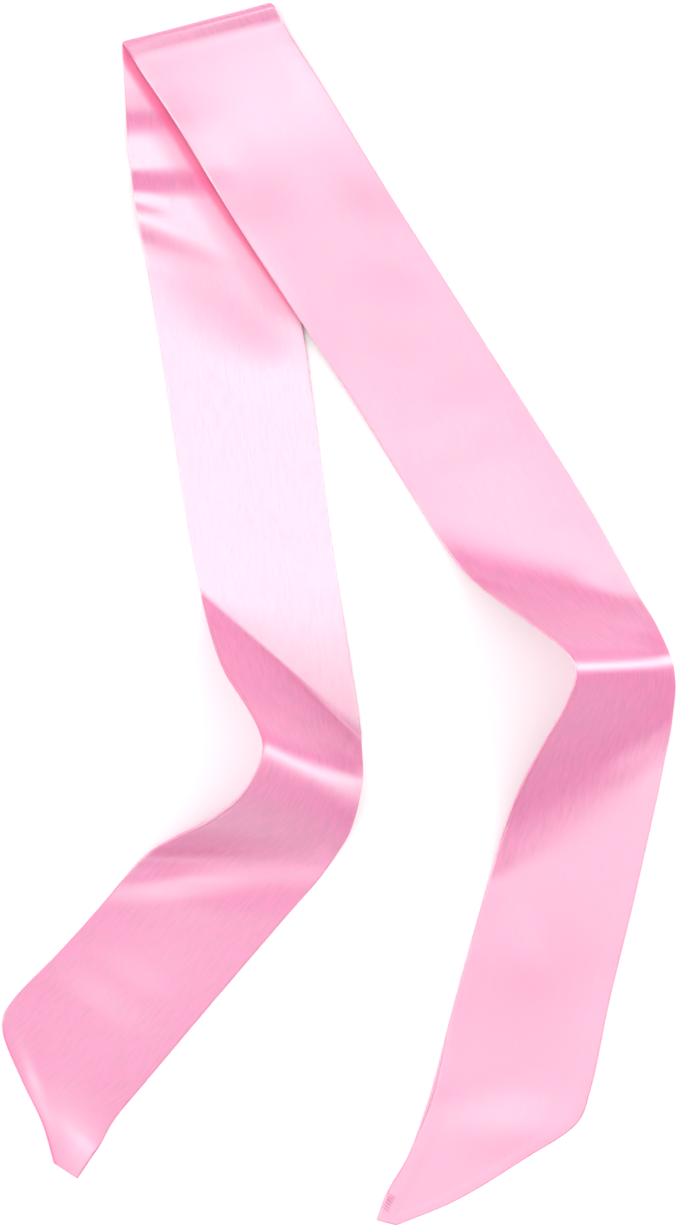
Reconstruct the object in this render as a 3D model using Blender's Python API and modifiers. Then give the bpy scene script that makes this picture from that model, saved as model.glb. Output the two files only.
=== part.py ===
"""A skinny satin scarf, laid flat on a surface and folded over once near its middle.

The scarf is a flat tube: a front panel and a back panel, sewn together all round. It runs from the end of the
stretch that lies on top, up to the fold, round it, and down to the end of the stretch that lies underneath.
Each stretch bends once to the side, and there its inner edge stands up in an arch.

Frame: +X to the right, +Y towards the fold, +Z up, with the surface that the scarf lies on at Z = 0.
Sizes below are in millimetres, and the mesh is made in metres.
"""

from collections import namedtuple

import bmesh
import bpy
import numpy as np

MM = 0.001

# The cloth
WALL = 1.0  # one panel
SEAM_GAP = 0.3  # between the front panel and the back panel
STACK = 2 * WALL + SEAM_GAP  # the flat tube
REST = STACK / 2  # height of the tube's middle where it lies on the surface

# The fold. Its outer line runs from the left edge to the right edge, and the loop is wider on the right.
FOLD_LEFT = np.array((-120.5, 317.5))
FOLD_RIGHT = np.array((-38.5, 339.0))
FOLD_RADIUS_LEFT = 3.1
FOLD_RADIUS_RIGHT = 3.4
FOLD_SHARE = 0.72  # the loop's half length, as a share of its half height
FOLD_SKEW_LEFT = 0.2  # sideways run of each edge for each millimetre round the loop
FOLD_SKEW_RIGHT = 0.4
FOLD_STEPS = 8
HUMP_DROP_LEFT = 2.2  # from the loop's top down to the cloth beside it
HUMP_DROP_RIGHT = 3.1
HUMP_REACH = 17.0
HUMP_STEPS = 6
TOP_LEAN = 0.31  # of the stretch on top, from square to the fold

# The stretch on top, where it lies on the one underneath
LAID_ON_GAP = 1.1
LAID_ON_LIFT = STACK + LAID_ON_GAP
LAID_ON_MARGIN = 9.0  # kept up this far past the lower stretch's edge
LAID_ON_DROP = 40.0  # then comes down to the surface over this distance

# The mesh
COLUMNS = 8  # across the strip
STEPS = 3  # along it, from one section to the next

# A section runs straight across the strip, from its left edge to its right edge. A lift is the height of the
# cloth's underside over the surface, or over the stretch below it.
Section = namedtuple("Section", "name left_x left_y left_lift right_x right_y right_lift")

TOP_STRETCH = (
    Section("end", 20.5, -336.5, 0, 31.5, -339.5, 0),
    Section("end_slant_low", 26.5, -321.0, 0, 65.0, -325.5, 0),
    Section("end_slant", 38.5, -300.0, 0, 103.5, -302.0, 0),
    Section("heel", 47.0, -277.0, 0, 132.5, -282.0, 0),
    Section("above_heel", 51.0, -264.5, 0, 139.0, -265.5, 0),
    Section("tail", 64.0, -214.5, 0, 150.0, -214.5, 0),
    Section("tail_top", 79.5, -159.0, 0, 163.5, -159.0, 0),
    Section("lower_foot", 84.5, -141.0, 2, 177.0, -99.0, 0),
    Section("lower_slope", 92.0, -115.0, 9.5, 180.5, -81.0, 0.2),
    Section("lower_slope_middle", 100.5, -92.0, 22.5, 183.5, -65.5, 1.8),
    Section("lower_slope_high", 112.0, -69.0, 38, 185.0, -51.0, 5.8),
    Section("below_crest", 122.5, -49.0, 51.5, 185.5, -40.0, 9.4),
    Section("crest", 127.5, -30.0, 60, 184.2, -30.0, 13),
    Section("above_crest", 120.5, -18.5, 57, 182.7, -24.5, 13.8),
    Section("upper_slope_high", 104.5, -5.5, 43.5, 181.0, -19.5, 13.2),
    Section("upper_slope_middle", 86.5, 8.0, 28, 178.0, -12.5, 11.2),
    Section("upper_slope", 71.0, 21.5, 11, 173.2, -2.0, 6.2),
    Section("upper_foot", 59.5, 35.5, 3, 164.0, 13.5, 1.2),
    Section("strip_low", 41.5, 63.5, 0, 140.0, 57.0, 0),
    Section("strip", 3.0, 125.5, 0, 87.0, 140.5, 0),
    Section("crossing", -19.0, 158.5, 0, 64.0, 176.5, 0),
    Section("laid_on", -56.5, 215.5, 0, 28.5, 232.0, 0),
    Section("laid_on_high", -92.5, 274.5, 0.8, -8.0, 291.0, 0.2),
)

UNDER_STRETCH = (
    Section("below_fold", -120.0, 304.5, 0, -38.5, 318.5, 0),
    Section("covered", -119.0, 286.5, 0, -38.0, 285.5, 0),
    Section("half_covered", -117.0, 257.5, 0, -34.5, 257.5, 0),
    Section("rippled", -113.5, 230.0, 0, -30.5, 230.0, 0),
    Section("at_crossing", -104.0, 174.5, 0, -22.5, 174.5, 0),
    Section("strip", -95.0, 119.0, 0, -14.5, 119.0, 0),
    Section("strip_low", -87.0, 66.0, 0, -4.0, 38.0, 0),
    Section("strip_end", -81.5, 34.0, 0, 5.2, -20.0, 0),
    Section("upper_foot", -76.5, 9.5, 0.8, 11.8, -64.0, 0),
    Section("upper_slope", -70.5, -12.0, 17.5, 12.2, -73.0, 1.5),
    Section("upper_slope_middle", -62.5, -31.5, 33.5, 12.6, -80.0, 4.5),
    Section("upper_slope_high", -51.0, -48.5, 47.5, 12.9, -86.5, 7.5),
    Section("above_crest", -43.5, -61.5, 59.5, 12.4, -94.0, 9.4),
    Section("crest", -41.0, -71.5, 64, 10.9, -102.5, 9.5),
    Section("below_crest", -44.0, -82.5, 64, 9.2, -109.5, 8.8),
    Section("lower_slope_high", -53.5, -97.5, 59.5, 7.0, -117.0, 5.4),
    Section("lower_slope_middle", -72.0, -112.0, 46, 3.8, -124.5, 3),
    Section("lower_slope", -92.0, -123.5, 23, -0.7, -132.0, 1.4),
    Section("lower_foot", -107.5, -133.5, 4, -6.0, -139.8, 0.5),
    Section("tail_top", -117.5, -144.0, 0, -12.5, -148.5, 0),
    Section("tail_high", -130.0, -159.0, 0, -30.5, -169.0, 0),
    Section("tail", -155.0, -187.0, 0, -69.5, -214.5, 0),
    Section("above_heel", -181.5, -214.5, 0, -112.5, -265.5, 0),
    Section("heel", -187.0, -224.0, 0, -121.0, -275.5, 0),
    Section("heel_low", -186.5, -234.5, 0, -126.5, -283.0, 0),
    Section("end_slant", -176.5, -258.5, 0, -133.0, -295.0, 0),
    Section("end_slant_low", -165.5, -281.5, 0, -137.5, -301.5, 0),
    Section("end", -158.5, -305.0, 0, -145.5, -313.5, 0),
)

# Ripples stand up from the left edge of the stretch underneath, below the fold, and lift what lies on it. Each
# has a level top between two lines across the strip, which lean down or up to the right, and a flank past
# either line, and it fades over its reach.
Ripple = namedtuple("Ripple", "name upper_y upper_lean upper_flank lower_y lower_lean lower_flank height reach")

RIPPLES = (
    Ripple("just_below_fold", 266.0, 0.0, 14.5, 264.0, 0.0, 22.0, 2.1, 60.0),
    Ripple("wedge", 229.5, 0.0, 20.0, 214.0, -0.40, 34.0, 3.6, 115.0),
    Ripple("wedge_lip", 262.0, 0.0, 32.0, 214.0, -0.40, 16.0, 1.4, 90.0),
)


def smooth_step(value):
    """0 below 0, 1 above 1, and a soft S between them."""
    value = np.clip(value, 0.0, 1.0)
    return value * value * (3.0 - 2.0 * value)


def ripple_height(ripple, y, in_from_left):
    """How far a ripple lifts each point."""
    above = (y - ripple.upper_y - ripple.upper_lean * in_from_left) / ripple.upper_flank
    below = (ripple.lower_y + ripple.lower_lean * in_from_left - y) / ripple.lower_flank
    fade = 1.0 - smooth_step(in_from_left / ripple.reach)
    return ripple.height * (1.0 - smooth_step(np.maximum(above, below))) * fade


def hump_fall(share):
    """0 at the loop's top and 1 at the foot of the hump: steepest near the top, then flatter and flatter."""
    return 1.0 - (1.0 - share) ** 5 * (1.0 + 5.0 * share)


def fold_sections():
    """Rows of the hump below the fold and of the loop: left x, y, z, right x, y, z and laid on the stretch below."""
    along = (FOLD_RIGHT - FOLD_LEFT) / np.linalg.norm(FOLD_RIGHT - FOLD_LEFT)
    outward = np.array((-along[1], along[0]))
    edges = (
        (FOLD_LEFT, FOLD_RADIUS_LEFT, FOLD_SKEW_LEFT, HUMP_DROP_LEFT),
        (FOLD_RIGHT, FOLD_RADIUS_RIGHT, FOLD_SKEW_RIGHT, HUMP_DROP_RIGHT),
    )
    rows = []
    for step in range(HUMP_STEPS, 0, -1):
        share = (step / HUMP_STEPS) ** 1.5
        row = []
        for corner, radius, skew, drop in edges:
            far_inset = radius * FOLD_SHARE + REST + HUMP_REACH
            sideways = skew * radius * np.pi / 2 * (1.0 - share) + TOP_LEAN * far_inset * share
            place = corner - outward * (far_inset - HUMP_REACH * (1.0 - share)) + along * sideways
            row += [*place, REST + 2 * radius - drop * hump_fall(share) - LAID_ON_LIFT]
        rows.append([*row, 1.0])
    for step in range(FOLD_STEPS + 1):
        turn = np.pi * step / FOLD_STEPS
        row = []
        for corner, radius, skew, drop in edges:
            inset = radius * FOLD_SHARE * (1.0 - np.sin(turn)) + REST
            sideways = skew * radius * (np.pi / 2 - turn)
            place = corner - outward * inset + along * sideways
            row += [*place, REST + radius * (1.0 + np.cos(turn))]
        rows.append([*row, 0.0])
    return rows


def section_rows():
    """Every section from one end of the scarf to the other, in the same columns as the loop's."""

    def row(section, laid_on):
        _, left_x, left_y, left_lift, right_x, right_y, right_lift = section
        return [left_x, left_y, REST + left_lift, right_x, right_y, REST + right_lift, laid_on]

    top = [row(section, 1.0) for section in TOP_STRETCH]
    under = [row(section, 0.0) for section in UNDER_STRETCH]
    return np.array(top + fold_sections() + under)


def smooth_rows(rows, steps):
    """A smooth curve through all the rows, with this many steps from each row to the next."""
    left, right = np.diff(rows[:, 0:3], axis=0), np.diff(rows[:, 3:6], axis=0)
    length = np.linalg.norm(left, axis=1) + np.linalg.norm(right, axis=1)
    gap = np.sqrt(length)[:, None]
    slope = np.diff(rows, axis=0) / gap
    inner = (slope[:-1] * gap[1:] + slope[1:] * gap[:-1]) / (gap[:-1] + gap[1:])
    tangent = np.vstack([slope[:1], inner, slope[-1:]])
    fine = []
    for at in range(len(rows) - 1):
        for u in np.arange(steps) / steps:
            fine.append(
                (2 * u**3 - 3 * u**2 + 1) * rows[at]
                + (u**3 - 2 * u**2 + u) * gap[at] * tangent[at]
                + (3 * u**2 - 2 * u**3) * rows[at + 1]
                + (u**3 - u**2) * gap[at] * tangent[at + 1]
            )
    return np.array([*fine, rows[-1]])


def edge_of_under_stretch(y, side):
    """X of one edge of the stretch underneath, at this Y."""
    known_y = [section.left_y if side == "left" else section.right_y for section in UNDER_STRETCH]
    known_x = [section.left_x if side == "left" else section.right_x for section in UNDER_STRETCH]
    return np.interp(y, known_y[::-1], known_x[::-1])


def cloth_middle():
    """Points of the tube's middle surface, as an array of stations along the scarf by columns across it."""
    rows = smooth_rows(section_rows(), STEPS)
    across = np.linspace(0.0, 1.0, COLUMNS + 1)[None, :, None]
    points = rows[:, None, 0:3] * (1.0 - across) + rows[:, None, 3:6] * across
    points[..., 2] = np.maximum(points[..., 2], REST)
    x, y = points[..., 0], points[..., 1]

    past_edge = x - edge_of_under_stretch(y, "right")
    lift = LAID_ON_LIFT * (1.0 - smooth_step((past_edge - LAID_ON_MARGIN) / LAID_ON_DROP))
    points[..., 2] += lift * rows[:, None, 6]  # laid on the stretch below

    in_from_left = x - edge_of_under_stretch(y, "left")
    for ripple in RIPPLES:
        points[..., 2] += ripple_height(ripple, y, in_from_left)
    return points


def satin(name, colour, roughness):
    material = bpy.data.materials.new(name)
    material.use_nodes = True
    shader = material.node_tree.nodes["Principled BSDF"]
    shader.inputs["Base Color"].default_value = (*colour, 1.0)
    shader.inputs["Roughness"].default_value = roughness
    shader.inputs["Metallic"].default_value = 0.0
    return material


def panel(name, side, points, material, collection):
    """One panel: a wall on the front (side 1) or the back (side -1) of the middle surface."""
    stations, columns = points.shape[0] - 1, points.shape[1] - 1
    shape = bmesh.new()
    bmesh.ops.create_grid(shape, x_segments=columns, y_segments=stations, size=1.0)
    for vertex in shape.verts:
        column = round((vertex.co.x + 1.0) / 2.0 * columns)
        station = round((vertex.co.y + 1.0) / 2.0 * stations)
        vertex.co = points[station, column] * MM
    mesh = bpy.data.meshes.new(name)
    shape.to_mesh(mesh)
    shape.free()
    mesh.shade_smooth()
    mesh.materials.append(material)

    cloth = bpy.data.objects.new(name, mesh)
    collection.objects.link(cloth)
    wall = cloth.modifiers.new("wall", "SOLIDIFY")
    wall.thickness = WALL * MM
    # An offset of 1 puts the wall against the middle surface, so the rest of it is half the gap.
    wall.offset = side * (1.0 + SEAM_GAP / WALL)
    wall.use_even_offset = True
    wall.use_quality_normals = True
    return cloth


def main():
    for old in list(bpy.data.objects):
        bpy.data.objects.remove(old, do_unlink=True)
    scarf = bpy.data.collections.new("skinny_scarf")
    bpy.context.scene.collection.children.link(scarf)
    points = cloth_middle()
    panel("front_panel", 1, points, satin("front_satin", (0.90, 0.52, 0.68), 0.32), scarf)
    panel("back_panel", -1, points, satin("back_satin", (0.88, 0.48, 0.65), 0.34), scarf)


main()
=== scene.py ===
"""A pink satin skinny scarf, laid flat, folded over once, and seen from straight above.

Lengths in the tables are millimetres; meshes, lights and the camera are in metres.
+X is to the right, +Y towards the fold and +Z up, with the surface that the scarf lies on at Z = 0.
"""

from collections import namedtuple

import bmesh
import bpy
import numpy as np
from mathutils import Matrix


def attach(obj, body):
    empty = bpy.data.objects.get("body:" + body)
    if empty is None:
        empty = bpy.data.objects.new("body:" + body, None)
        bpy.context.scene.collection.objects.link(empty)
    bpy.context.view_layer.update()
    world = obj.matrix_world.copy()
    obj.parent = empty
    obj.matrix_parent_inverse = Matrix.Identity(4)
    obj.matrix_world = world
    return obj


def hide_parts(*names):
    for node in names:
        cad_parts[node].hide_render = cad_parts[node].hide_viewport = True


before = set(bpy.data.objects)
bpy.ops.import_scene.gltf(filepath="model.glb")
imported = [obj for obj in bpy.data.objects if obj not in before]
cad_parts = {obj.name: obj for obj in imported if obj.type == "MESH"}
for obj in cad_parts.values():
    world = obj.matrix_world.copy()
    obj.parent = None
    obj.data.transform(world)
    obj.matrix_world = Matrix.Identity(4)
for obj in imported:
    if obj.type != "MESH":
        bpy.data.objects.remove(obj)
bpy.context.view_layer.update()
MM = 0.001

# The lie of the strip
# The scarf is one strip, 80 mm wide. From its end at the bottom right it runs up to the fold, turns over
# there, and comes down again underneath. Each stretch bends once, and its inner edge stands up in an arch.
Section = namedtuple("Section", "name left_x left_y left_lift right_x right_y right_lift")

TOP_STRETCH = (
    Section("end", 20.5, -336.5, 0, 31.5, -339.5, 0),
    Section("end_slant_low", 26.5, -321.0, 0, 65.0, -325.5, 0),
    Section("end_slant", 38.5, -300.0, 0, 103.5, -302.0, 0),
    Section("heel", 47.0, -277.0, 0, 132.5, -282.0, 0),
    Section("above_heel", 51.0, -264.5, 0, 139.0, -265.5, 0),
    Section("tail", 64.0, -214.5, 0, 150.0, -214.5, 0),
    Section("tail_top", 79.5, -159.0, 0, 163.5, -159.0, 0),
    Section("lower_foot", 84.5, -141.0, 2, 177.0, -99.0, 0),
    Section("lower_slope", 92.0, -115.0, 9.5, 180.5, -81.0, 0.2),
    Section("lower_slope_middle", 100.5, -92.0, 22.5, 183.5, -65.5, 1.8),
    Section("lower_slope_high", 112.0, -69.0, 38, 185.0, -51.0, 5.8),
    Section("below_crest", 122.5, -49.0, 51.5, 185.5, -40.0, 9.4),
    Section("crest", 127.5, -30.0, 60, 184.2, -30.0, 13),
    Section("above_crest", 120.5, -18.5, 57, 182.7, -24.5, 13.8),
    Section("upper_slope_high", 104.5, -5.5, 43.5, 181.0, -19.5, 13.2),
    Section("upper_slope_middle", 86.5, 8.0, 28, 178.0, -12.5, 11.2),
    Section("upper_slope", 71.0, 21.5, 11, 173.2, -2.0, 6.2),
    Section("upper_foot", 59.5, 35.5, 3, 164.0, 13.5, 1.2),
    Section("strip_low", 41.5, 63.5, 0, 140.0, 57.0, 0),
    Section("strip", 3.0, 125.5, 0, 87.0, 140.5, 0),
    Section("crossing", -19.0, 158.5, 0, 64.0, 176.5, 0),
    Section("laid_on", -56.5, 215.5, 0, 28.5, 232.0, 0),
    Section("laid_on_high", -92.5, 274.5, 0.8, -8.0, 291.0, 0.2),
)

UNDER_STRETCH = (
    Section("below_fold", -120.0, 304.5, 0, -38.5, 318.5, 0),
    Section("covered", -119.0, 286.5, 0, -38.0, 285.5, 0),
    Section("half_covered", -117.0, 257.5, 0, -34.5, 257.5, 0),
    Section("rippled", -113.5, 230.0, 0, -30.5, 230.0, 0),
    Section("at_crossing", -104.0, 174.5, 0, -22.5, 174.5, 0),
    Section("strip", -95.0, 119.0, 0, -14.5, 119.0, 0),
    Section("strip_low", -87.0, 66.0, 0, -4.0, 38.0, 0),
    Section("strip_end", -81.5, 34.0, 0, 5.2, -20.0, 0),
    Section("upper_foot", -76.5, 9.5, 0.8, 11.8, -64.0, 0),
    Section("upper_slope", -70.5, -12.0, 17.5, 12.2, -73.0, 1.5),
    Section("upper_slope_middle", -62.5, -31.5, 33.5, 12.6, -80.0, 4.5),
    Section("upper_slope_high", -51.0, -48.5, 47.5, 12.9, -86.5, 7.5),
    Section("above_crest", -43.5, -61.5, 59.5, 12.4, -94.0, 9.4),
    Section("crest", -41.0, -71.5, 64, 10.9, -102.5, 9.5),
    Section("below_crest", -44.0, -82.5, 64, 9.2, -109.5, 8.8),
    Section("lower_slope_high", -53.5, -97.5, 59.5, 7.0, -117.0, 5.4),
    Section("lower_slope_middle", -72.0, -112.0, 46, 3.8, -124.5, 3),
    Section("lower_slope", -92.0, -123.5, 23, -0.7, -132.0, 1.4),
    Section("lower_foot", -107.5, -133.5, 4, -6.0, -139.8, 0.5),
    Section("tail_top", -117.5, -144.0, 0, -12.5, -148.5, 0),
    Section("tail_high", -130.0, -159.0, 0, -30.5, -169.0, 0),
    Section("tail", -155.0, -187.0, 0, -69.5, -214.5, 0),
    Section("above_heel", -181.5, -214.5, 0, -112.5, -265.5, 0),
    Section("heel", -187.0, -224.0, 0, -121.0, -275.5, 0),
    Section("heel_low", -186.5, -234.5, 0, -126.5, -283.0, 0),
    Section("end_slant", -176.5, -258.5, 0, -133.0, -295.0, 0),
    Section("end_slant_low", -165.5, -281.5, 0, -137.5, -301.5, 0),
    Section("end", -158.5, -305.0, 0, -145.5, -313.5, 0),
)

REST = 1.15  # height of the tube's middle where it lies on the surface
FOLD_LEFT = np.array((-120.5, 317.5))  # the fold's two corners
FOLD_RIGHT = np.array((-38.5, 339.0))
FOLD_RADIUS_LEFT = 3.1  # half the loop's height at each corner
FOLD_RADIUS_RIGHT = 3.4
FOLD_SHARE = 0.72  # the loop's half length, as a share of its half height
FOLD_SKEW_LEFT = 0.2  # sideways run of each edge for each millimetre round the loop
FOLD_SKEW_RIGHT = 0.4
FOLD_STEPS = 8  # rows of the loop
HUMP_DROP_LEFT = 2.2  # from the loop's top down to the cloth beside it
HUMP_DROP_RIGHT = 3.1
HUMP_REACH = 17.0  # from the loop's top to the foot of the hump
HUMP_STEPS = 6  # rows of the hump
HUMP_CROWDING = 1.5  # the hump's rows are closer together near the loop
HUMP_SHARPNESS = 5  # the higher, the more of its fall is close to the loop
TOP_LEAN = 0.31  # of the stretch on top, from square to the fold
LAID_ON_LIFT = 3.4  # the stretch on top over the one underneath
LAID_ON_MARGIN = 9.0  # past the edge of the stretch underneath, before the one on top comes down
LAID_ON_DROP = 40.0  # and how far it takes to come down
FINE_STEPS = 24  # points of the curve from one section to the next
STATION = 2.1  # spacing along the strip
STATION_CLOSE = 0.7  # and round the fold
STATION_AT_END = 0.2  # and at the very ends
STATION_GROWTH = 0.35  # of the spacing, for each millimetre from an end
FOLD_REACH = 22.0  # how far the fold's close stations go on either side of it
CROSS_POINTS = 81  # of the strip's middle surface, across it


def smooth_step(value):
    """0 below 0, 1 above 1, and a soft S between them."""
    value = np.clip(value, 0.0, 1.0)
    return value * value * (3.0 - 2.0 * value)


def hump_fall(share):
    """0 at the loop's top and 1 at the foot of the hump: steep near the top, then flatter and flatter."""
    return 1.0 - (1.0 - share) ** HUMP_SHARPNESS * (1.0 + HUMP_SHARPNESS * share)


def fold_sections():
    """The hump below the fold and the loop: left x, y, z, right x, y, z, laid on, facing up."""
    along = (FOLD_RIGHT - FOLD_LEFT) / np.linalg.norm(FOLD_RIGHT - FOLD_LEFT)
    outward = np.array((-along[1], along[0]))
    edges = (
        (FOLD_LEFT, FOLD_RADIUS_LEFT, FOLD_SKEW_LEFT, HUMP_DROP_LEFT),
        (FOLD_RIGHT, FOLD_RADIUS_RIGHT, FOLD_SKEW_RIGHT, HUMP_DROP_RIGHT),
    )
    rows = []
    for step in range(HUMP_STEPS, 0, -1):
        share = (step / HUMP_STEPS) ** HUMP_CROWDING
        row = []
        for corner, radius, skew, drop in edges:
            far_inset = radius * FOLD_SHARE + REST + HUMP_REACH
            sideways = skew * radius * np.pi / 2 * (1.0 - share) + TOP_LEAN * far_inset * share
            place = corner - outward * (far_inset - HUMP_REACH * (1.0 - share)) + along * sideways
            row += [*place, REST + 2 * radius - drop * hump_fall(share) - LAID_ON_LIFT]
        rows.append([*row, 1.0, 1.0])
    for step in range(FOLD_STEPS + 1):
        turn = np.pi * step / FOLD_STEPS
        row = []
        for corner, radius, skew, drop in edges:
            inset = radius * FOLD_SHARE * (1.0 - np.sin(turn)) + REST
            sideways = skew * radius * (np.pi / 2 - turn)
            place = corner - outward * inset + along * sideways
            row += [*place, REST + radius * (1.0 + np.cos(turn))]
        rows.append([*row, 0.0, np.cos(turn)])
    return rows


def section_rows():
    """Every section from the end on top, round the fold, to the end underneath, as rows of numbers."""

    def row(section, laid_on, facing):
        _, left_x, left_y, left_lift, right_x, right_y, right_lift = section
        return [left_x, left_y, REST + left_lift, right_x, right_y, REST + right_lift, laid_on, facing]

    top = [row(section, 1.0, 1.0) for section in TOP_STRETCH]
    under = [row(section, 0.0, -1.0) for section in UNDER_STRETCH]
    return np.array(top + fold_sections() + under)


def smooth_rows(rows, steps):
    """A smooth curve through all the rows, with this many steps from each row to the next."""
    left, right = np.diff(rows[:, 0:3], axis=0), np.diff(rows[:, 3:6], axis=0)
    length = np.linalg.norm(left, axis=1) + np.linalg.norm(right, axis=1)
    gap = np.sqrt(length)[:, None]
    slope = np.diff(rows, axis=0) / gap
    inner = (slope[:-1] * gap[1:] + slope[1:] * gap[:-1]) / (gap[:-1] + gap[1:])
    tangent = np.vstack([slope[:1], inner, slope[-1:]])
    fine = []
    for at in range(len(rows) - 1):
        for u in np.arange(steps) / steps:
            fine.append(
                (2 * u**3 - 3 * u**2 + 1) * rows[at]
                + (u**3 - 2 * u**2 + u) * gap[at] * tangent[at]
                + (3 * u**2 - 2 * u**3) * rows[at + 1]
                + (u**3 - u**2) * gap[at] * tangent[at + 1]
            )
    return np.array([*fine, rows[-1]])


def edge_of_under_stretch(y, side):
    """X of one edge of the stretch underneath, at this Y."""
    known_y = [section.left_y if side == "left" else section.right_y for section in UNDER_STRETCH]
    known_x = [section.left_x if side == "left" else section.right_x for section in UNDER_STRETCH]
    return np.interp(y, known_y[::-1], known_x[::-1])


curve = smooth_rows(section_rows(), FINE_STEPS)
middle_line = (curve[:, 0:3] + curve[:, 3:6]) / 2
run = np.concatenate([[0.0], np.cumsum(np.linalg.norm(np.diff(middle_line, axis=0), axis=1))])
STRIP_LENGTH = run[-1]
FOLD_RUN = run[(len(TOP_STRETCH) + HUMP_STEPS + FOLD_STEPS // 2) * FINE_STEPS]


def run_at(stretch, name):
    """How far along the strip a section is."""
    names = [section.name for section in stretch]
    first = 0 if stretch is TOP_STRETCH else len(TOP_STRETCH) + HUMP_STEPS + FOLD_STEPS + 1
    return run[(first + names.index(name)) * FINE_STEPS]


# Stations are closer together at the two ends and round the fold.
stations = [0.0]
while stations[-1] < STRIP_LENGTH:
    here = stations[-1]
    from_end = min(here, STRIP_LENGTH - here)
    near_fold = 1.0 - smooth_step((abs(here - FOLD_RUN) - FOLD_REACH) / FOLD_REACH)
    spacing = STATION + (STATION_CLOSE - STATION) * near_fold
    stations.append(here + min(spacing, STATION_AT_END + STATION_GROWTH * from_end))
stations = np.array(stations) * STRIP_LENGTH / stations[-1]


def station_near(place):
    """The number of the station nearest to this place along the strip."""
    return int(np.argmin(abs(stations - place)))


rows = np.stack([np.interp(stations, run, curve[:, k]) for k in range(curve.shape[1])], axis=1)
on_top = np.clip(rows[:, 7], -1.0, 1.0)
under = (stations > FOLD_RUN).astype(float)

# Ripples that stand up from the left edge of the stretch underneath, and lift the stretch on top with it.
# Each has a level top between two lines across the strip, which lean down or up to the right, and a flank
# past either line. It fades over its reach, in from the edge.
RIPPLE_FIELDS = "name upper_y upper_lean upper_flank lower_y lower_lean lower_flank height reach"
Ripple = namedtuple("Ripple", RIPPLE_FIELDS)

RIPPLES = (
    Ripple("just_below_fold", 266.0, 0.0, 14.5, 264.0, 0.0, 22.0, 1.7, 46.0),
    Ripple("wedge", 229.5, 0.0, 20.0, 221.0, -0.40, 28.0, 3.7, 94.0),
    Ripple("wedge_lip", 262.0, 0.0, 32.0, 221.0, -0.40, 16.0, 1.6, 80.0),
    Ripple("dip_in_wedge", 229.0, -0.1, 4.5, 228.0, -0.25, 5.0, -0.8, 24.0),
)

# Soft swells where the satin doesn't lie quite flat: round or long bumps and hollows, turned from +X.
Swell = namedtuple("Swell", "name x y half_long half_short turn height")

SWELLS_ON_TOP = (
    Swell("over_the_crossing", 32.0, 166.0, 42.0, 30.0, -40.0, 2.2),
    Swell("middle_of_strip", 72.0, 108.0, 46.0, 34.0, 30.0, 2.0),
    Swell("top_of_tail", 96.0, -192.0, 34.0, 20.0, -35.0, 1.4),
    Swell("bottom_of_tail", 92.0, -286.0, 52.0, 24.0, -10.0, 1.5),
    Swell("hollow_above_the_arch", 156.0, 6.0, 34.0, 15.0, -24.0, -2.4),
    Swell("hollow_below_the_arch", 158.0, -72.0, 26.0, 14.0, 30.0, -1.6),
)
SWELLS_UNDERNEATH = (
    Swell("right_of_strip", -40.0, 138.0, 36.0, 26.0, -35.0, 1.0),
    Swell("above_the_arch", -34.0, 30.0, 44.0, 24.0, -32.0, 0.6),
    Swell("top_of_tail", -70.0, -160.0, 50.0, 14.0, -4.0, 2.2),
    Swell("middle_of_tail", -122.0, -206.0, 50.0, 22.0, -30.0, 3.0),
    Swell("bottom_of_tail", -148.0, -258.0, 38.0, 18.0, 15.0, 1.4),
)

# Places where the weave is pulled askew, by this many degrees, in a round or long patch. Satin shines by
# its lengthwise threads, so these show as soft clouds of lighter and darker pink.
Pull = namedtuple("Pull", "name x y half_long half_short turn askew")

PULLS = (
    Pull("top_of_strip", -42.0, 292.0, 66.0, 50.0, 32.0, 22.0),
    Pull("left_of_strip", -66.0, 249.0, 38.0, 22.0, -58.0, 10.0),
    Pull("over_the_ripples", -42.0, 224.0, 36.0, 20.0, 40.0, -8.0),
    Pull("right_of_strip", 12.0, 236.0, 40.0, 22.0, -40.0, -6.0),
    Pull("low_in_the_strip", 80.0, 84.0, 56.0, 40.0, -57.0, 3.0),
    Pull("top_tail", 108.0, -212.0, 90.0, 62.0, -75.0, 6.0),
    Pull("top_of_top_tail", 104.0, -172.0, 40.0, 18.0, -55.0, -5.0),
    Pull("bottom_of_top_tail", 96.0, -274.0, 58.0, 24.0, 12.0, -7.0),
    Pull("below_the_ripples", -66.0, 180.0, 60.0, 46.0, -40.0, 21.0),
    Pull("beside_the_crossing", -50.0, 158.0, 46.0, 34.0, -62.0, 11.0),
    Pull("left_of_the_crossing", -84.0, 158.0, 40.0, 30.0, -80.0, 8.0),
    Pull("tail_underneath", -108.0, -204.0, 90.0, 62.0, 45.0, 15.0),
    Pull("top_of_tail_underneath", -82.0, -150.0, 56.0, 13.0, 6.0, 26.0),
    Pull("end_of_tail_underneath", -142.0, -296.0, 62.0, 34.0, -62.0, 24.0),
    Pull("along_the_rolled_end", -170.0, -258.0, 48.0, 7.0, -70.6, 12.0),
)


def patch(spot, x, y):
    """1 in the middle of a round or long patch, and softly down to 0 at its rim."""
    turn = np.radians(spot.turn)
    long_way = (x - spot.x) * np.cos(turn) + (y - spot.y) * np.sin(turn)
    short_way = (y - spot.y) * np.cos(turn) - (x - spot.x) * np.sin(turn)
    return 1.0 - smooth_step(np.hypot(long_way / spot.half_long, short_way / spot.half_short))


def ripple_height(ripple, y, in_from_left):
    """How far a ripple lifts each point."""
    above = (y - ripple.upper_y - ripple.upper_lean * in_from_left) / ripple.upper_flank
    below = (ripple.lower_y + ripple.lower_lean * in_from_left - y) / ripple.lower_flank
    fade = 1.0 - smooth_step(in_from_left / ripple.reach)
    return ripple.height * (1.0 - smooth_step(np.maximum(above, below))) * fade


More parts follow.
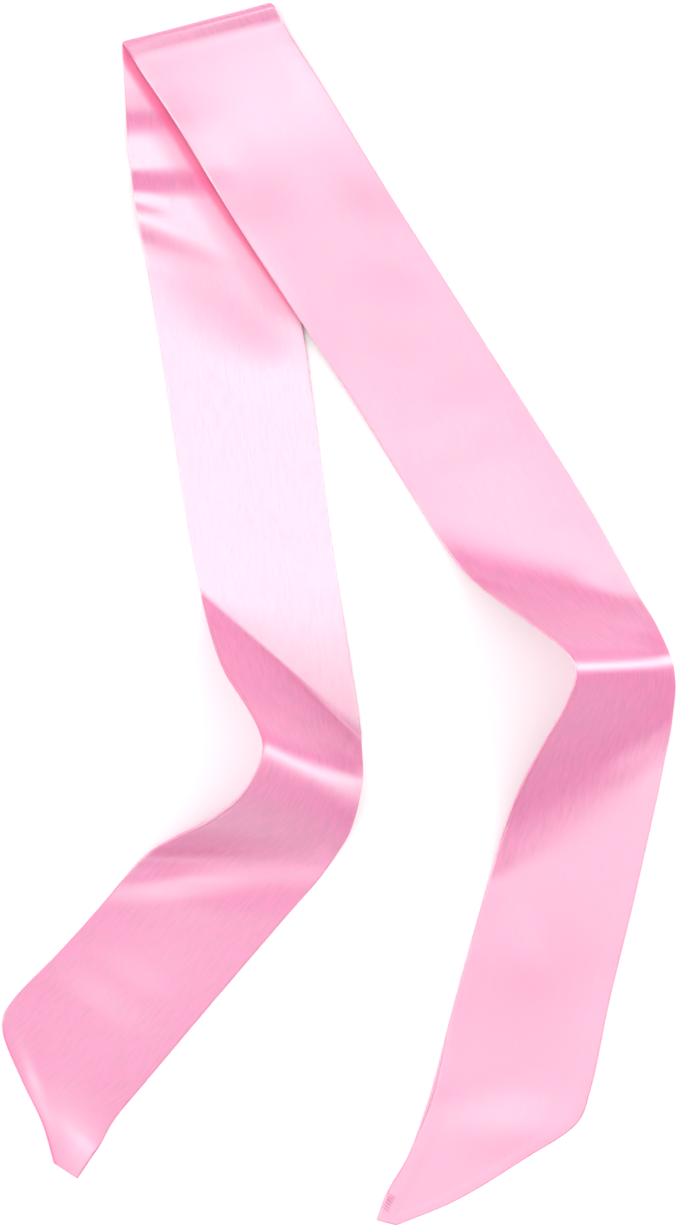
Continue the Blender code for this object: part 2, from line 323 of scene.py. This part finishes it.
def strip_middle():
    """The tube's middle surface: stations along the strip by points across it."""
    across = np.linspace(0.0, 1.0, CROSS_POINTS)[None, :, None]
    points = rows[:, None, 0:3] * (1.0 - across) + rows[:, None, 3:6] * across
    points[..., 2] = np.maximum(points[..., 2], REST)
    x, y = points[..., 0], points[..., 1]
    past_edge = x - edge_of_under_stretch(y, "right")
    lift = LAID_ON_LIFT * (1.0 - smooth_step((past_edge - LAID_ON_MARGIN) / LAID_ON_DROP))
    points[..., 2] += lift * rows[:, None, 6]  # laid on the stretch below
    in_from_left = x - edge_of_under_stretch(y, "left")
    for ripple in RIPPLES:
        points[..., 2] += ripple_height(ripple, y, in_from_left)
    for swells, stretch in ((SWELLS_ON_TOP, 1.0 - under), (SWELLS_UNDERNEATH, under)):
        for swell in swells:
            points[..., 2] += stretch[:, None] * swell.height * patch(swell, x, y)
    return points


middle = strip_middle()
ruling_length = np.linalg.norm(rows[:, 3:6] - rows[:, 0:3], axis=1)


def unit(vectors):
    """The same directions, one long."""
    return vectors / np.linalg.norm(vectors, axis=-1, keepdims=True)


def surface_normals(points):
    """Square to the surface at each point, on the front panel's side."""
    return unit(np.cross(np.gradient(points, axis=1), np.gradient(points, axis=0)))


middle_normals = surface_normals(middle)

# Flat coordinates of the cloth, before it was laid: across from its left edge, and along from the fold. The
# lengthwise threads run with the edges, and the crosswise ones square to them. In the slanted ends the
# threads keep their direction, and the seam cuts across them.
WIDTH = 80.0
END_BLEND = 25.0  # over which the slanted end takes up the straight threads
THREAD_BLEND = 4.0  # how quickly the threads' slant may change along the strip
THREAD_BLEND_AT_FOLD = 20.0
HEEL_STATIONS = 12  # over which a tail's direction is taken, just before its slanted end


def thread_slant():
    """How far along the strip each point lies ahead of the middle of its section, with square threads."""
    way = unit(np.gradient(middle, axis=0))
    way_between = unit(way[:, 1:] + way[:, :-1])
    ahead = np.cumsum((np.diff(middle, axis=1) * way_between).sum(axis=2), axis=1)
    slant = np.concatenate([np.zeros((len(stations), 1)), ahead], axis=1)
    slant -= slant.mean(axis=1, keepdims=True)
    near_fold = 1.0 - smooth_step((abs(stations - FOLD_RUN) - FOLD_REACH) / (2 * FOLD_REACH))
    blend = THREAD_BLEND + (THREAD_BLEND_AT_FOLD - THREAD_BLEND) * near_fold
    weight = np.exp(-0.5 * ((stations[:, None] - stations[None, :]) / blend[:, None]) ** 2)
    weight *= np.gradient(stations)[None, :]
    return weight @ slant / weight.sum(axis=1, keepdims=True)


def flat_coordinates():
    """Across and along the flat cloth, for each point of the middle surface."""
    share = np.linspace(0.0, 1.0, CROSS_POINTS)[None, :]
    across = np.broadcast_to(WIDTH * share, middle.shape[:2]).copy()
    step = np.linalg.norm(np.diff(middle, axis=0), axis=2).mean(axis=1)
    along = np.concatenate([[0.0], np.cumsum(step)])[:, None] + thread_slant()
    along -= along[station_near(FOLD_RUN)].mean()
    for heel, onward in ((run_at(TOP_STRETCH, "above_heel"), -1), (run_at(UNDER_STRETCH, "above_heel"), 1)):
        at = station_near(heel)
        past = (stations - heel) * onward > 0.0
        first, last = sorted((at, at - onward * HEEL_STATIONS))
        along_way = unit(middle[last, :, 0:2].mean(0) - middle[first, :, 0:2].mean(0))
        across_way = np.array((-along_way[1], along_way[0]))
        if across_way @ (middle[at, -1, 0:2] - middle[at, 0, 0:2]) < 0:
            across_way = -across_way
        offset = middle[..., 0:2] - middle[at, 0, 0:2]
        plane_across = offset @ across_way
        plane_along = along[at, 0] + offset @ along_way
        fade = 1.0 - smooth_step(abs(stations - heel) / END_BLEND)[:, None]
        fixed_across = plane_across + (across[at] - plane_across[at])[None, :] * fade
        fixed_along = plane_along + (along[at] - plane_along[at])[None, :] * fade
        across[past] = fixed_across[past]
        along[past] = fixed_along[past]
    for pull in PULLS:
        askew = np.tan(np.radians(pull.askew)) * patch(pull, middle[..., 0], middle[..., 1])
        pulled = np.cumsum(askew * np.gradient(across, axis=1), axis=1)
        along += pulled - pulled.mean(axis=1, keepdims=True)
    return across, along


flat_across, flat_along = flat_coordinates()

# The front panel
# One of the two long satin strips that the scarf is made of, cut on the straight grain with slanted ends.
# It is sewn to the back panel all round, right sides together, and turned, so its edges roll inwards.
SATIN_WALL = 0.3
TUBE_HALF = 1.08  # from the tube's middle to the outside of one panel
EDGE_ROUND = 1.1
ALLOWANCE = 6.5  # the turned-in seam allowance stands up along each edge
ALLOWANCE_SLOPE = 6.0
MIDDLE_SINK = 0.22  # from the allowance's level down to the single layers between
FACING_UP_FROM = -0.2  # a face shows the allowance and the gathers from this slope on
FACING_UP_SPAN = 0.6
SEAM_GROOVE = 0.35
SEAM_GROOVE_WIDTH = 0.6
PUCKER = 0.10  # height of the small gathers along the seams
PUCKER_REACH = 5.0
PUCKER_SPACING = 1.31
PUCKER_WANDER = 1.7  # how far the spacing wanders, and over what length
PUCKER_WANDER_LENGTH = 23.0
PUCKER_SLOW_WAVES = ((17.3, 0.8, 0.45), (41.0, 0.0, 0.4))  # length, start and depth
PUCKER_OFFSET = 9.0  # along the strip, so that the two panels' gathers differ
STITCHES = 6  # that close the gap in the seam near the end of the stretch on top
STITCH_FIRST = 7.5  # along the left edge, from the very end
STITCH_SPACING = 1.7
STITCH_GATHER = 0.22  # of the cloth between the stitches
STITCH_GATHER_FADE = 10.0 / 3.0  # the gathers fade from one to two of these in from the edge
# Painted shade on the stretch underneath, beside the top stretch's left edge, where the top stretch shades
# it: a deep core and a wider, weaker rim.
SHADE_LOW_Y = 165.0  # just above where the stretches part
SHADE_HIGH_Y = 250.0
SHADE_FULL_LOW = 0.5  # width of the deep painted shade where the stretches part
SHADE_FULL_HIGH = 4.0  # and near the fold
SHADE_RIM = 3.6
SHADE_SQUARE = 0.85  # square to the edge, for each millimetre along X
SHADE_SOFT = 0.45  # a wider, weaker painted shade round it
SHADE_SOFT_REACH = 20.0
SHADE_SOFT_TOP = 262.0  # it fades above this
# Painted shade on the outer side of the rolled seam at the slanted end of the stretch underneath.
ROLLED_END_START = 12.5  # along the slanted end of the stretch underneath, where its seam rolls over
ROLLED_END_WIDTH = 1.5  # of the painted shade on the seam's outer side
ROLLED_END_RIM = 1.0
ROLLED_END_SHADE = 0.6

# The mesh's columns, as distances in from each edge: close together where the cloth rolls over.
EDGE_COLUMNS = (0.0, 0.2, 0.5, 0.9, 1.4, 2.1, 3.0, 4.2, 5.6, 7.2)
MIDDLE_COLUMNS = 33
WRAP_COLUMNS = 7  # past the left edge, where the seam rolls onto the other side
WRAP_LEAST = 0.3

# Where the seam rolls over the left edge. Positive: the back panel comes round onto the front side.
SeamRoll = namedtuple("SeamRoll", "name run reach roll")
SEAM_ROLL_TAPER = 1.6  # so that a roll has all but gone at its reach

SEAM_ROLLS = (
    SeamRoll("tail_of_top_stretch", run_at(TOP_STRETCH, "above_heel"), 55.0, 2.0),
    SeamRoll("below_crest_of_top_stretch", run_at(TOP_STRETCH, "lower_slope_middle"), 45.0, 1.8),
    SeamRoll("above_crest_of_top_stretch", run_at(TOP_STRETCH, "upper_slope_high"), 50.0, 0.9),
    SeamRoll("above_crest_of_under_stretch", run_at(UNDER_STRETCH, "upper_slope_middle"), 40.0, -1.8),
    SeamRoll("below_crest_of_under_stretch", run_at(UNDER_STRETCH, "lower_slope_middle"), 38.0, -2.6),
)

left_edge_step = np.linalg.norm(np.diff(middle[:, 0], axis=0), axis=1)
left_edge_run = np.concatenate([[0.0], np.cumsum(left_edge_step)])

seam_roll = np.zeros(len(stations))
for roll in SEAM_ROLLS:
    seam_roll += roll.roll * np.exp(-(((stations - roll.run) / roll.reach * SEAM_ROLL_TAPER) ** 2))


def panel_columns(side):
    """Distance from the left edge for each station and column, negative past it, on the other side."""
    start = side * seam_roll
    wrap_end = np.maximum(start + WRAP_LEAST, 0.0)
    wrap = np.arange(WRAP_COLUMNS) / WRAP_COLUMNS
    wrapped = start[:, None] + (wrap_end - start)[:, None] * wrap
    edge = np.array(EDGE_COLUMNS)
    inner = np.linspace(edge[-1], WIDTH - edge[-1], MIDDLE_COLUMNS)[1:-1]
    spread = np.concatenate([edge, inner, WIDTH - edge[::-1]]) / WIDTH
    across = wrap_end[:, None] + (ruling_length - wrap_end)[:, None] * spread
    return np.concatenate([wrapped, across], axis=1)


def seam_pucker(where):
    """Small uneven gathers along a seam, from -1 to 1, flatter in some places than in others."""
    gathers = np.sin(where / PUCKER_SPACING + PUCKER_WANDER * np.sin(where / PUCKER_WANDER_LENGTH))
    for length, start, depth in PUCKER_SLOW_WAVES:
        gathers = gathers * (1.0 - depth + depth * np.sin(where / length + start))
    return gathers


def across_sample(field, fraction):
    """A field of the middle surface at any fraction across it."""
    place = np.clip(fraction, 0.0, 1.0) * (CROSS_POINTS - 1)
    low = np.minimum(place.astype(int), CROSS_POINTS - 2)
    part = place - low
    station = np.arange(len(stations))[:, None]
    if field.ndim == 3:
        part = part[..., None]
    return field[station, low] * (1.0 - part) + field[station, low + 1] * part


def panel_points(side):
    """Outer face of one panel in millimetres, its flat coordinates, and how far in each point is."""
    signed = panel_columns(side)
    distance = abs(signed)
    fraction = distance / ruling_length[:, None]
    base = across_sample(middle, fraction)
    normal = unit(across_sample(middle_normals, fraction))
    face = side * np.where(signed < 0.0, -1.0, 1.0)
    from_end = np.minimum(stations, STRIP_LENGTH - stations)[:, None]
    from_right = np.maximum(ruling_length[:, None] - distance, 0.0)
    from_edge = np.minimum(np.minimum(distance, from_right), from_end)
    round_in = np.clip(from_edge / EDGE_ROUND, 0.0, 1.0)
    half = TUBE_HALF * np.sqrt(1.0 - (1.0 - round_in) ** 2)
    upward = smooth_step((face * on_top[:, None] - FACING_UP_FROM) / FACING_UP_SPAN)
    half -= upward * MIDDLE_SINK * smooth_step((from_edge - ALLOWANCE) / ALLOWANCE_SLOPE)
    pucker = seam_pucker(stations[:, None] + side * PUCKER_OFFSET) * np.exp(-from_edge / PUCKER_REACH)
    half += upward * PUCKER * pucker * round_in
    along_stitches = (left_edge_run[:, None] - STITCH_FIRST) / STITCH_SPACING
    stitched = smooth_step(along_stitches + 1.0) * smooth_step(STITCHES - along_stitches)
    gather = np.cos(2 * np.pi * along_stitches) * smooth_step(2.0 - distance / STITCH_GATHER_FADE)
    half -= upward * STITCH_GATHER * stitched * gather * round_in
    groove = np.exp(-(((signed - side * seam_roll[:, None]) / SEAM_GROOVE_WIDTH) ** 2))
    half -= SEAM_GROOVE * groove * round_in
    points = base + normal * (face * half)[..., None]
    across = across_sample(flat_across, fraction) * np.where(signed < 0.0, -1.0, 1.0)
    along = across_sample(flat_along, fraction)
    return points, across, along, from_edge, distance


def painted_shade_beside_top_stretch(points):
    """Painted shade on the stretch underneath: 1 where it runs in under the top stretch's left edge, down
    to 0.
    """
    edge_y = [section.left_y for section in TOP_STRETCH]
    edge_x = [section.left_x for section in TOP_STRETCH]
    edge = np.interp(points[..., 1], [*edge_y, FOLD_LEFT[1]], [*edge_x, FOLD_LEFT[0]])
    up = smooth_step((points[..., 1] - SHADE_LOW_Y) / (SHADE_HIGH_Y - SHADE_LOW_Y))
    full = SHADE_FULL_LOW + (SHADE_FULL_HIGH - SHADE_FULL_LOW) * up
    from_edge = (edge - points[..., 0]) * SHADE_SQUARE
    core = 1.0 - smooth_step((from_edge - full) / SHADE_RIM)
    soft = SHADE_SOFT * (1.0 - smooth_step(from_edge / SHADE_SOFT_REACH))
    soft *= 1.0 - smooth_step((points[..., 1] - SHADE_SOFT_TOP) / SHADE_SOFT_REACH)
    low_end = smooth_step((points[..., 1] - SHADE_LOW_Y) / SHADE_SOFT_REACH + 0.5)
    return np.maximum(core, soft) * under[:, None] * low_end


def painted_shade_on_rolled_end(from_left):
    """Painted shade: 1 on the outer side of the rolled seam at the end of the stretch underneath."""
    past_heel = smooth_step((stations - run_at(UNDER_STRETCH, "heel")) / ROLLED_END_START)
    return past_heel[:, None] * (1.0 - smooth_step((from_left - ROLLED_END_WIDTH) / ROLLED_END_RIM))


def satin_panel(name, side, material):
    """One panel: a grid whose corners are moved onto the strip, and thickened inwards."""
    points, across, along, from_edge, from_left = panel_points(side)
    rows_of_faces, columns = points.shape[0] - 1, points.shape[1] - 1
    shape = bmesh.new()
    bmesh.ops.create_grid(shape, x_segments=columns, y_segments=rows_of_faces, size=1.0)
    mesh = bpy.data.meshes.new(name)
    shape.to_mesh(mesh)
    shape.free()
    flat = np.empty(len(mesh.vertices) * 3)
    mesh.vertices.foreach_get("co", flat)
    flat = flat.reshape(-1, 3)
    column = np.rint((flat[:, 0] + 1.0) / 2.0 * columns).astype(int)
    row = np.rint((flat[:, 1] + 1.0) / 2.0 * rows_of_faces).astype(int)
    mesh.vertices.foreach_set("co", (points[row, column] * MM).ravel())
    corner = np.empty(len(mesh.loops), int)
    mesh.loops.foreach_get("vertex_index", corner)
    cloth = mesh.uv_layers.new(name="cloth")
    cloth_at = np.stack([across[row, column], along[row, column]], axis=1) * MM
    cloth.data.foreach_set("uv", cloth_at[corner].ravel())
    seam = mesh.attributes.new("from_seam", "FLOAT", "POINT")
    seam.data.foreach_set("value", from_edge[row, column].astype(np.float32))
    # Painted shade, kept on the mesh as a point attribute: beside the top stretch's left edge, and on the
    # outer side of the rolled end.
    shade = mesh.attributes.new("painted_shade", "FLOAT", "POINT")
    painted_shade = np.maximum(painted_shade_beside_top_stretch(points), ROLLED_END_SHADE * painted_shade_on_rolled_end(from_left))
    shade.data.foreach_set("value", painted_shade[row, column].astype(np.float32))
    mesh.update()
    if side < 0:
        mesh.flip_normals()
    mesh.shade_smooth()
    mesh.materials.append(material)
    panel = bpy.data.objects.new(name, mesh)
    bpy.context.scene.collection.objects.link(panel)
    wall = panel.modifiers.new("wall", "SOLIDIFY")
    wall.thickness = SATIN_WALL * MM
    wall.offset = -1.0
    wall.use_even_offset = False
    return panel


THREAD = 0.0004  # metres: how wide the weave's finest streaks are
FLOAT_LENGTH = 0.012  # and how long its broad ones are
BROAD_IN_RELIEF = 0.35
TIES_IN_RELIEF = 0.2
BROAD_IN_LUSTRE = 0.6


def group_socket(group, name, way, kind, value=None):
    """A named input or output of a node group."""
    socket = group.interface.new_socket(name=name, in_out=way, socket_type=kind)
    if value is not None:
        socket.default_value = value
    return socket


def satin_threads():
    """Long floats of the satin weave, lying along the strip, with the fine ties that cross them."""
    group = bpy.data.node_groups.new("satin_threads", "ShaderNodeTree")
    group_socket(group, "Cloth", "INPUT", "NodeSocketVector")
    group_socket(group, "Thread", "INPUT", "NodeSocketFloat", THREAD)
    group_socket(group, "Float length", "INPUT", "NodeSocketFloat", FLOAT_LENGTH)
    group_socket(group, "Height", "OUTPUT", "NodeSocketFloat")
    group_socket(group, "Lustre", "OUTPUT", "NodeSocketFloat")
    nodes, links = group.nodes, group.links
    given = nodes.new("NodeGroupInput")
    result = nodes.new("NodeGroupOutput")
    split = nodes.new("ShaderNodeSeparateXYZ")
    links.new(given.outputs["Cloth"], split.inputs[0])

    def ratio(top, bottom, factor):
        """Top over bottom times factor."""
        scaled = nodes.new("ShaderNodeMath")
        scaled.operation = "MULTIPLY"
        scaled.inputs[1].default_value = factor
        links.new(bottom, scaled.inputs[0])
        divided = nodes.new("ShaderNodeMath")
        divided.operation = "DIVIDE"
        links.new(top, divided.inputs[0])
        links.new(scaled.outputs[0], divided.inputs[1])
        return divided.outputs[0]

    def streaks(thread_factor, length_factor, detail):
        """Noise drawn out along the strip, so many threads wide and so many floats long."""
        threads_over = ratio(split.outputs["X"], given.outputs["Thread"], thread_factor)
        floats_along = ratio(split.outputs["Y"], given.outputs["Float length"], length_factor)
        place = nodes.new("ShaderNodeCombineXYZ")
        links.new(threads_over, place.inputs["X"])
        links.new(floats_along, place.inputs["Y"])
        noise = nodes.new("ShaderNodeTexNoise")
        noise.noise_dimensions = "2D"
        noise.inputs["Scale"].default_value = 1.0
        noise.inputs["Detail"].default_value = detail
        links.new(place.outputs[0], noise.inputs["Vector"])
        return noise.outputs["Fac"]

    def mixed(first, second, share):
        """The first value, with this share of the second."""
        mix = nodes.new("ShaderNodeMix")
        mix.data_type = "FLOAT"
        mix.inputs["Factor"].default_value = share
        links.new(first, mix.inputs["A"])
        links.new(second, mix.inputs["B"])
        return mix.outputs["Result"]

    fine = streaks(thread_factor=1.0, length_factor=0.4, detail=2.0)
    broad = streaks(thread_factor=4.0, length_factor=1.0, detail=2.0)
    ties = streaks(thread_factor=12.0, length_factor=0.05, detail=1.0)
    height = mixed(mixed(fine, broad, BROAD_IN_RELIEF), ties, TIES_IN_RELIEF)
    links.new(height, result.inputs["Height"])
    links.new(mixed(fine, broad, BROAD_IN_LUSTRE), result.inputs["Lustre"])
    return group


SATIN_PINK = (0.76, 0.165, 0.385, 1.0)
SATIN_DEEP = (0.76, 0.130, 0.310, 1.0)  # right at the seams
SATIN_PAINTED_SHADE = (0.88, 0.005, 0.230, 1.0)  # painted shade: a deep pink for the stretch underneath beside the top stretch's edge, and for the rolled end's outer side
SEAM_TONE_REACH = 1.2  # millimetres from the seam
THREAD_TONE = 0.3  # how much the threads' tone varies
SATIN_ROUGHNESS = 0.46
ROUGHNESS_SPREAD = 0.12
SHADE_ROUGHNESS = 1.0
RELIEF_STRENGTH = 0.4
RELIEF_DEPTH = 0.0001
SATIN_IOR = 2.15
SATIN_TINT = (0.62, 1.0, 0.86, 1.0)  # of the shine: it takes the pink out of the brightest parts
SATIN_SHEEN = 0.1
SHEEN_ROUGHNESS = 0.4

threads = satin_threads()


def satin(name, tone):
    """Polyester satin: bright where its lengthwise floats lie level, and a deeper pink where they slope."""
    material = bpy.data.materials.new(name)
    material.use_nodes = True
    nodes, links = material.node_tree.nodes, material.node_tree.links
    shader = nodes["Principled BSDF"]
    cloth = nodes.new("ShaderNodeUVMap")
    cloth.uv_map = "cloth"
    weave = nodes.new("ShaderNodeGroup")
    weave.node_tree = threads
    links.new(cloth.outputs["UV"], weave.inputs["Cloth"])

    def attribute(attribute_name):
        node = nodes.new("ShaderNodeAttribute")
        node.attribute_name = attribute_name
        return node.outputs["Fac"]

    def lustre_from(low, high):
        """The weave's lustre, from 0 to 1, spread between two values."""
        node = nodes.new("ShaderNodeMapRange")
        node.inputs["To Min"].default_value = low
        node.inputs["To Max"].default_value = high
        links.new(weave.outputs["Lustre"], node.inputs["Value"])
        return node.outputs["Result"]

    def mixed(kind, first, second, share):
        """The first colour or value, and the second where the share is 1."""
        node = nodes.new("ShaderNodeMix")
        node.data_type = kind
        node.inputs["B"].default_value = second
        links.new(first, node.inputs["A"])
        links.new(share, node.inputs["Factor"])
        return node.outputs["Result"]

    seam_mask = nodes.new("ShaderNodeMapRange")
    seam_mask.interpolation_type = "SMOOTHSTEP"
    seam_mask.inputs["From Max"].default_value = SEAM_TONE_REACH
    seam_mask.inputs["To Min"].default_value = 1.0
    seam_mask.inputs["To Max"].default_value = 0.0
    links.new(attribute("from_seam"), seam_mask.inputs["Value"])

    grained = nodes.new("ShaderNodeVectorMath")
    grained.operation = "SCALE"
    grained.inputs[0].default_value = tone[:3]
    links.new(lustre_from(1.0 - THREAD_TONE, 1.0 + THREAD_TONE), grained.inputs["Scale"])

    # Painted shade: where the attribute is 1, the base colour turns to a deep pink and full roughness dulls
    # the shine.
    painted_shade = attribute("painted_shade")
    colour = mixed("RGBA", grained.outputs["Vector"], SATIN_DEEP, seam_mask.outputs["Result"])
    links.new(mixed("RGBA", colour, SATIN_PAINTED_SHADE, painted_shade), shader.inputs["Base Color"])
    roughness = lustre_from(SATIN_ROUGHNESS - ROUGHNESS_SPREAD, SATIN_ROUGHNESS + ROUGHNESS_SPREAD)
    links.new(mixed("FLOAT", roughness, SHADE_ROUGHNESS, painted_shade), shader.inputs["Roughness"])

    relief = nodes.new("ShaderNodeBump")
    relief.inputs["Strength"].default_value = RELIEF_STRENGTH
    relief.inputs["Distance"].default_value = RELIEF_DEPTH
    links.new(weave.outputs["Height"], relief.inputs["Height"])
    links.new(relief.outputs["Normal"], shader.inputs["Normal"])

    thread_way = nodes.new("ShaderNodeTangent")
    thread_way.direction_type = "UV_MAP"
    thread_way.uv_map = "cloth"
    links.new(thread_way.outputs["Tangent"], shader.inputs["Tangent"])
    shader.inputs["Anisotropic"].default_value = 1.0
    shader.inputs["IOR"].default_value = SATIN_IOR
    shader.inputs["Specular IOR Level"].default_value = 1.0
    shader.inputs["Specular Tint"].default_value = SATIN_TINT
    shader.inputs["Sheen Weight"].default_value = SATIN_SHEEN
    shader.inputs["Sheen Roughness"].default_value = SHEEN_ROUGHNESS
    return material


front_panel = satin_panel("front_panel_satin", 1, satin("front_satin", SATIN_PINK))
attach(front_panel, "root")
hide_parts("front_panel")

# The back panel
# The other satin strip, of the same pink satin and the same cut, sewn to the front panel all round. It
# faces down on the stretch on top, and past the fold it is the face that shows.
back_panel = satin_panel("back_panel_satin", -1, satin("back_satin", SATIN_PINK))
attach(back_panel, "root")
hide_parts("back_panel")

# The closing stitches
# A few whip stitches of pink thread over the left edge, near the end of the stretch on top. They close
# the gap that the tube was turned right side out through.
SEWING_PINK = (0.62, 0.17, 0.34, 1.0)
SEWING_ROUGHNESS = 0.6
STITCH_LONG = 4.6
STITCH_THICK = 0.45
STITCH_INSET = 3.0  # from the edge to the stitch's middle
STITCH_RAISED = 0.2  # over the satin, where the thread isn't pulled in
STITCH_LEAN = np.radians(-14.0)  # from square to the edge, towards the tip
STITCH_SEGMENTS = 10
STITCH_RINGS = 8


def left_edge_at(place):
    """X and Y of the strip's left edge, this far along it from the end of the stretch on top."""
    return np.array([np.interp(place, left_edge_run, middle[:, 0, axis]) for axis in range(2)])


stitch_mesh = bpy.data.meshes.new("closing_stitches")
stitch_shape = bmesh.new()
for stitch in range(STITCHES):
    place = STITCH_FIRST + STITCH_SPACING * stitch
    edge_at = left_edge_at(place)
    edge_way = unit(left_edge_at(place + 1.0) - edge_at)
    inward = np.array((edge_way[1], -edge_way[0]))
    heading = np.arctan2(inward[1], inward[0]) + STITCH_LEAN
    spot = (*((edge_at + inward * STITCH_INSET) * MM), (REST + TUBE_HALF + STITCH_RAISED) * MM)
    scale = Matrix.Diagonal((STITCH_LONG * MM, STITCH_THICK * MM, STITCH_THICK * MM, 1.0))
    lie = Matrix.Translation(spot) @ Matrix.Rotation(heading, 4, "Z") @ scale
    bmesh.ops.create_uvsphere(
        stitch_shape,
        u_segments=STITCH_SEGMENTS,
        v_segments=STITCH_RINGS,
        radius=0.5,
        matrix=lie,
    )
stitch_shape.to_mesh(stitch_mesh)
stitch_shape.free()
stitch_mesh.shade_smooth()
sewing_thread = bpy.data.materials.new("sewing_thread")
sewing_thread.use_nodes = True
sewing_shader = sewing_thread.node_tree.nodes["Principled BSDF"]
sewing_shader.inputs["Base Color"].default_value = SEWING_PINK
sewing_shader.inputs["Roughness"].default_value = SEWING_ROUGHNESS
stitch_mesh.materials.append(sewing_thread)
closing_stitches = bpy.data.objects.new("closing_stitches", stitch_mesh)
bpy.context.scene.collection.objects.link(closing_stitches)
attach(closing_stitches, "root")

# The backdrop
# A plain white sheet of matt paper, larger than the camera's view. The scarf lies loose on it.
BACKDROP_HALF = 10.0
PAPER_WHITE = (0.93, 0.93, 0.93, 1.0)
PAPER_ROUGHNESS = 0.9
backdrop_shape = bmesh.new()
bmesh.ops.create_grid(backdrop_shape, x_segments=1, y_segments=1, size=BACKDROP_HALF)
backdrop_mesh = bpy.data.meshes.new("backdrop")
backdrop_shape.to_mesh(backdrop_mesh)
backdrop_shape.free()
backdrop = bpy.data.objects.new("backdrop", backdrop_mesh)
bpy.context.scene.collection.objects.link(backdrop)
paper = bpy.data.materials.new("white_paper")
paper.use_nodes = True
paper_shader = paper.node_tree.nodes["Principled BSDF"]
paper_shader.inputs["Base Color"].default_value = PAPER_WHITE
paper_shader.inputs["Roughness"].default_value = PAPER_ROUGHNESS
paper_shader.inputs["Specular IOR Level"].default_value = 0.0
backdrop_mesh.materials.append(paper)

# The light
# A white light tent stands over the scarf. A soft bright arch goes over it from side to side, brighter low
# down at the left and right than overhead, with two weaker panels low beyond the fold and beyond the ends,
# and a weak softbox hangs under its roof.
ARCH_TURN = np.radians(11.0)
ARCH_CENTRE = 0.01
ARCH_WIDTH = 0.32
ARCH_OVERHEAD = 2.05
ARCH_SIDES = 4.4  # added low down at the left and right
FAR_PANEL = 1.1
NEAR_PANEL = 0.4
PANEL_WIDTH = 0.27
ROOM_LIGHT = 0.1
TENT_WHITE = (1.0, 1.0, 1.0, 1.0)
world = bpy.data.worlds.new("light_tent")
bpy.context.scene.world = world
world.use_nodes = True
tent = world.node_tree.nodes
tent_links = world.node_tree.links
towards = tent.new("ShaderNodeTexCoord")
direction = tent.new("ShaderNodeSeparateXYZ")  # a unit vector out from the scarf
tent_links.new(towards.outputs["Generated"], direction.inputs[0])


def tent_math(operation, first, second):
    """One step of the tent's brightness."""
    step = tent.new("ShaderNodeMath")
    step.operation = operation
    for socket, value in zip(step.inputs, (first, second)):
        if isinstance(value, float):
            socket.default_value = value
        else:
            tent_links.new(value, socket)
    return step.outputs[0]


def tent_turned(x_factor, y_factor):
    """How far a direction points along a horizontal line, from -1 to 1."""
    x_part = tent_math("MULTIPLY", direction.outputs["X"], float(x_factor))
    y_part = tent_math("MULTIPLY", direction.outputs["Y"], float(y_factor))
    return tent_math("ADD", x_part, y_part)


def tent_band(along, centre, width):
    """A soft band of light, 1 at its centre."""
    off = tent_math("DIVIDE", tent_math("SUBTRACT", along, float(centre)), float(width))
    return tent_math("POWER", float(np.exp(-1.0)), tent_math("MULTIPLY", off, off))


along_strip = tent_turned(-np.sin(ARCH_TURN), np.cos(ARCH_TURN))
to_side = tent_turned(np.cos(ARCH_TURN), np.sin(ARCH_TURN))
arch_height = tent_math("MULTIPLY", tent_math("MULTIPLY", to_side, to_side), ARCH_SIDES)
arch_light = tent_math("ADD", arch_height, ARCH_OVERHEAD)
brightness = tent_math("MULTIPLY", tent_band(along_strip, ARCH_CENTRE, ARCH_WIDTH), arch_light)
for centre, light in ((1.0, FAR_PANEL), (-1.0, NEAR_PANEL)):
    panel_light = tent_math("MULTIPLY", tent_band(along_strip, centre, PANEL_WIDTH), light)
    brightness = tent_math("ADD", brightness, panel_light)
brightness = tent_math("ADD", brightness, ROOM_LIGHT)
sky = tent["Background"]
sky.inputs["Color"].default_value = TENT_WHITE
tent_links.new(brightness, sky.inputs["Strength"])

SOFTBOX_HEIGHT = 2.3
SOFTBOX_WIDTH = 3.0
SOFTBOX_DEPTH = 1.1
SOFTBOX_Y = 0.2
SOFTBOX_RADIANCE = 0.4
softbox_light = bpy.data.lights.new("softbox", "AREA")
softbox_light.shape = "RECTANGLE"
softbox_light.size = SOFTBOX_WIDTH
softbox_light.size_y = SOFTBOX_DEPTH
softbox_light.energy = SOFTBOX_RADIANCE * np.pi * SOFTBOX_WIDTH * SOFTBOX_DEPTH
softbox = bpy.data.objects.new("softbox", softbox_light)
softbox.location = (0.0, SOFTBOX_Y, SOFTBOX_HEIGHT)
bpy.context.scene.collection.objects.link(softbox)

# The camera
# It looks straight down from 2 m, and the photograph's frame covers this much of the surface.
CAMERA_HEIGHT = 2.0
PHOTO_HEIGHT_PX = 1228
STRIP_WIDTH_PX = 144
PIXEL = WIDTH * MM / STRIP_WIDTH_PX
SENSOR = 36.0
camera_data = bpy.data.cameras.new("camera")
camera_data.sensor_width = SENSOR
camera_data.lens = SENSOR * CAMERA_HEIGHT / (PHOTO_HEIGHT_PX * PIXEL)
camera = bpy.data.objects.new("camera", camera_data)
camera.location = (0.0, 0.0, CAMERA_HEIGHT)
bpy.context.scene.collection.objects.link(camera)
bpy.context.scene.camera = camera
bpy.context.scene.view_settings.view_transform = "Standard"
